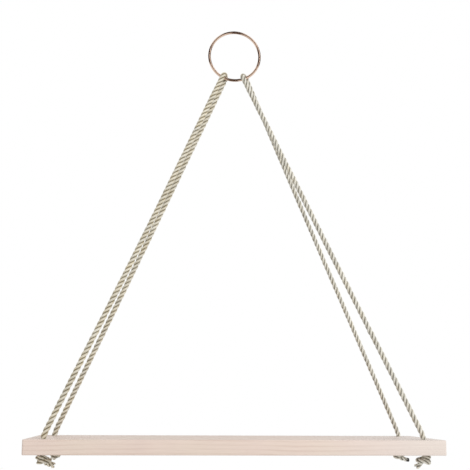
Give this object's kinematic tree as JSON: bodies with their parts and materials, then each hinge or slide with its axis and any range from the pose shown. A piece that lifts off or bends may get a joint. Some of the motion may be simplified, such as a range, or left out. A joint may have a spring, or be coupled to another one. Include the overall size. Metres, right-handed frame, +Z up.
{
  "type": "hanging rope shelf",
  "caption": "Hanging shelf: a drilled wooden board on ropes that are knotted under it and loop over a metal ring, which hangs on a wall hook.",
  "frame": {"origin": "the highest point inside the ring, where the hook that holds the shelf bears", "axes": "+X to the right along the board, +Y from the front to the wall, +Z up"},
  "size_m": [0.42, 0.14, 0.4836],
  "materials": {
    "ring_metal": "polished rose-gold plate",
    "rope": "laid three-strand natural fibre",
    "board_wood": "sanded, pale, matt"
  },
  "bodies": {
    "ring": {"hanging_ring": "ring_metal"},
    "rope_loops": {"left_rope_loop": "rope", "right_rope_loop": "rope"},
    "hanger": {"front_left_rope_leg": "rope", "back_left_rope_leg": "rope", "front_right_rope_leg": "rope", "back_right_rope_leg": "rope", "front_left_knot": "rope", "back_left_knot": "rope", "front_right_knot": "rope", "back_right_knot": "rope", "shelf_board": "board_wood"}
  },
  "joints": [
    {"name": "ring_turn", "type": "hinge", "parent": "ring", "child": "rope_loops", "pos_m": [0, 0, -0.027], "axis": [0, 1, 0], "continuous": true},
    {"name": "swing", "type": "hinge", "parent": "rope_loops", "child": "hanger", "pos_m": [0, 0, -0.05296], "axis": [1, 0, 0], "range_deg": [-90, 90]}
  ]
}
